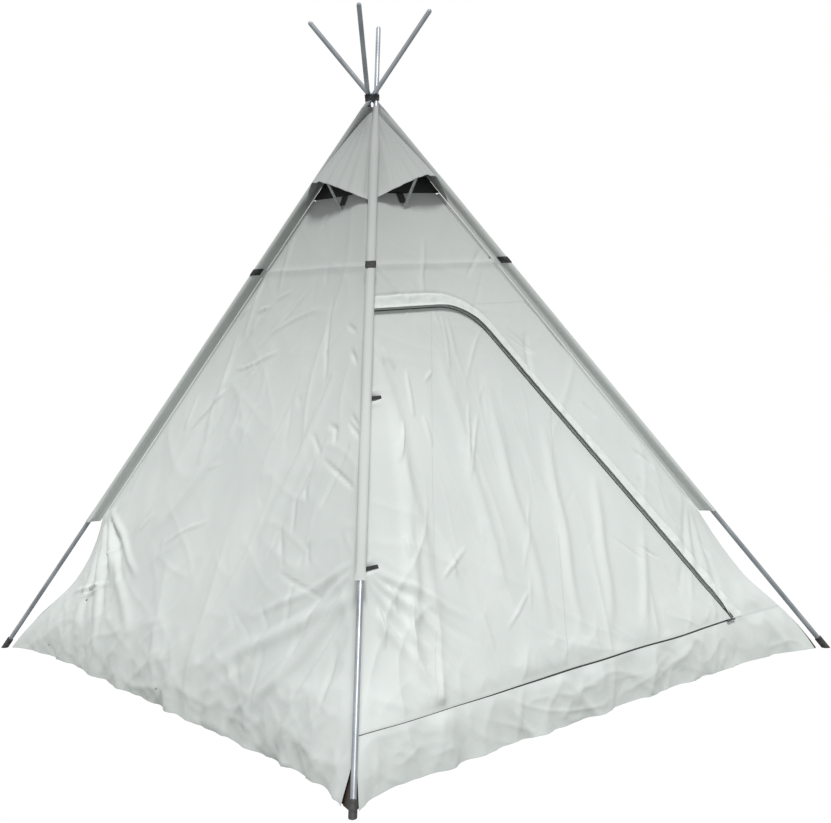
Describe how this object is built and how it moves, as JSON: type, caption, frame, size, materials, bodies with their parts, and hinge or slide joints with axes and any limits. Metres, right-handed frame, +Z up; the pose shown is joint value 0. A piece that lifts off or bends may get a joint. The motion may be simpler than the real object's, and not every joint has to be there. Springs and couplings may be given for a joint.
{
  "type": "teepee tent",
  "caption": "Square teepee tent on crossed tube poles, with a zipped door that folds aside and propped vent flaps under the crossing.",
  "frame": {"origin": "on the ground at the middle of the footprint", "axes": "+Z up; the front pole stands on -Y, the right pole on +X, the back pole on +Y, the left pole on -X; the door is in the wall between the front and right poles"},
  "size_m": [3.4268, 3.4268, 2.5483],
  "materials": {
    "tent_cloth": "pale grey-green coated polyester",
    "groundsheet": "dark brown coated groundsheet",
    "black_webbing": "black webbing",
    "vent_net": "black insect mesh",
    "pole_tube": "satin grey coated steel tube",
    "foot_rubber": "matt black",
    "zip_coil": "dark grey coil zip",
    "zip_metal": "dark enamelled zinc",
    "strut_plastic": "grey stiffened webbing stay"
  },
  "bodies": {
    "tent_body": {"corner_gusset_back": "groundsheet", "corner_gusset_front": "groundsheet", "corner_gusset_left": "groundsheet", "corner_gusset_right": "groundsheet", "door_header": "tent_cloth", "door_side_panel": "tent_cloth", "door_sill_panel": "tent_cloth", "floor_sheet": "groundsheet", "foot_cap_back": "foot_rubber", "foot_cap_front": "foot_rubber", "foot_cap_left": "foot_rubber", "foot_cap_right": "foot_rubber", "lashing_strap": "black_webbing", "pole_back_lower": "pole_tube", "pole_back_middle": "pole_tube", "pole_back_upper": "pole_tube", "pole_front_lower": "pole_tube", "pole_front_middle": "pole_tube", "pole_front_upper": "pole_tube", "pole_left_lower": "pole_tube", "pole_left_middle": "pole_tube", "pole_left_upper": "pole_tube", "pole_right_lower": "pole_tube", "pole_right_middle": "pole_tube", "pole_right_upper": "pole_tube", "sleeve_back": "tent_cloth", "sleeve_band_back": "black_webbing", "sleeve_band_front": "black_webbing", "sleeve_band_left": "black_webbing", "sleeve_band_right": "black_webbing", "sleeve_front": "tent_cloth", "sleeve_left": "tent_cloth", "sleeve_right": "tent_cloth", "upper_panel_front_left": "tent_cloth", "upper_panel_front_right": "tent_cloth", "vent_mesh": "vent_net", "wall_back_left": "tent_cloth", "wall_back_right": "tent_cloth", "wall_front_left": "tent_cloth", "zip_placket": "tent_cloth", "zip_side_chain": "zip_coil", "zip_sill_chain": "zip_coil"},
    "door_inner": {"door_inner_strip": "tent_cloth"},
    "door_middle": {"door_middle_strip": "tent_cloth"},
    "door_outer": {"door_outer_strip": "tent_cloth"},
    "side_slider": {"zip_side_slider": "zip_metal"},
    "side_slider_tab": {"zip_side_slider_tab": "zip_metal"},
    "sill_slider": {"zip_sill_slider": "zip_metal"},
    "sill_slider_tab": {"zip_sill_slider_tab": "zip_metal"},
    "tie_lower": {"door_tie_lower": "black_webbing"},
    "tie_upper": {"door_tie_upper": "black_webbing"},
    "hood_front_right": {"hood_flap_front_right": "tent_cloth"},
    "strut_front_right": {"vent_strut_front_right": "strut_plastic"},
    "hood_back_right": {"hood_flap_back_right": "tent_cloth"},
    "strut_back_right": {"vent_strut_back_right": "strut_plastic"},
    "hood_back_left": {"hood_flap_back_left": "tent_cloth"},
    "strut_back_left": {"vent_strut_back_left": "strut_plastic"},
    "hood_front_left": {"hood_flap_front_left": "tent_cloth"},
    "strut_front_left": {"vent_strut_front_left": "strut_plastic"}
  },
  "joints": [
    {"name": "door_swing", "type": "hinge", "parent": "tent_body", "child": "door_inner", "pos_m": [0, -1.50924, 0.17441], "axis": [0, -0.6013, -0.799], "range_deg": [0, 75]},
    {"name": "door_middle_fold", "type": "hinge", "parent": "door_inner", "child": "door_middle", "pos_m": [0.43819, -1.07105, 0.17441], "axis": [0, -0.6013, -0.799], "range_deg": [0, 105]},
    {"name": "door_outer_fold", "type": "hinge", "parent": "door_middle", "child": "door_outer", "pos_m": [0.87638, -0.63286, 0.17441], "axis": [0, -0.6013, -0.799], "range_deg": [0, 105]},
    {"name": "side_zip_travel", "type": "slide", "parent": "tent_body", "child": "side_slider", "axis": [-0.6206, -0.031, 0.7835], "range_m": [0, 1.38]},
    {"name": "side_tab_swing", "type": "hinge", "parent": "side_slider", "child": "side_slider_tab", "pos_m": [1.29629, -0.20013, 0.19911], "axis": [-0.4745, -0.7806, -0.4067], "range_deg": [0, 90]},
    {"name": "sill_zip_travel", "type": "slide", "parent": "tent_body", "child": "sill_slider", "axis": [-0.7071, -0.7071, 0], "range_m": [0, 1.805]},
    {"name": "sill_tab_swing", "type": "hinge", "parent": "sill_slider", "child": "sill_slider_tab", "pos_m": [1.30105, -0.217, 0.17037], "axis": [0.3322, -0.3322, -0.8828], "range_deg": [0, 90]},
    {"name": "tie_lower_swing", "type": "hinge", "parent": "door_inner", "child": "tie_lower", "pos_m": [0.01169, -1.17804, 0.60028], "axis": [0.3322, -0.3322, -0.8828], "range_deg": [0, 20]},
    {"name": "tie_upper_swing", "type": "hinge", "parent": "door_inner", "child": "tie_upper", "pos_m": [0.01169, -0.79425, 1.11028], "axis": [0.3322, -0.3322, -0.8828], "range_deg": [0, 20]},
    {"name": "hood_front_right_close", "type": "hinge", "parent": "tent_body", "child": "hood_front_right", "pos_m": [0.02682, -0.02682, 2.12], "axis": [0.7071, 0.7071, 0], "range_deg": [0, 14]},
    {"name": "strut_front_right_fold", "type": "hinge", "parent": "hood_front_right", "child": "strut_front_right", "pos_m": [0.17117, -0.17117, 1.89813], "axis": [0.7071, 0.7071, 0], "range_deg": [-67, 0]},
    {"name": "hood_back_right_close", "type": "hinge", "parent": "tent_body", "child": "hood_back_right", "pos_m": [0.02682, 0.02682, 2.12], "axis": [-0.7071, 0.7071, 0], "range_deg": [0, 14]},
    {"name": "strut_back_right_fold", "type": "hinge", "parent": "hood_back_right", "child": "strut_back_right", "pos_m": [0.17117, 0.17117, 1.89813], "axis": [-0.7071, 0.7071, 0], "range_deg": [-67, 0]},
    {"name": "hood_back_left_close", "type": "hinge", "parent": "tent_body", "child": "hood_back_left", "pos_m": [-0.02682, 0.02682, 2.12], "axis": [-0.7071, -0.7071, 0], "range_deg": [0, 14]},
    {"name": "strut_back_left_fold", "type": "hinge", "parent": "hood_back_left", "child": "strut_back_left", "pos_m": [-0.17117, 0.17117, 1.89813], "axis": [-0.7071, -0.7071, 0], "range_deg": [-67, 0]},
    {"name": "hood_front_left_close", "type": "hinge", "parent": "tent_body", "child": "hood_front_left", "pos_m": [-0.02682, -0.02682, 2.12], "axis": [0.7071, -0.7071, 0], "range_deg": [0, 14]},
    {"name": "strut_front_left_fold", "type": "hinge", "parent": "hood_front_left", "child": "strut_front_left", "pos_m": [-0.17117, -0.17117, 1.89813], "axis": [0.7071, -0.7071, 0], "range_deg": [-67, 0]}
  ],
  "couplings": [
    {"joint": "door_middle_fold", "follows": "door_swing", "ratio": 1.4},
    {"joint": "door_outer_fold", "follows": "door_swing", "ratio": 1.4},
    {"joint": "strut_front_right_fold", "follows": "hood_front_right_close", "ratio": -4.68},
    {"joint": "strut_back_right_fold", "follows": "hood_back_right_close", "ratio": -4.68},
    {"joint": "strut_back_left_fold", "follows": "hood_back_left_close", "ratio": -4.68},
    {"joint": "strut_front_left_fold", "follows": "hood_front_left_close", "ratio": -4.68}
  ]
}
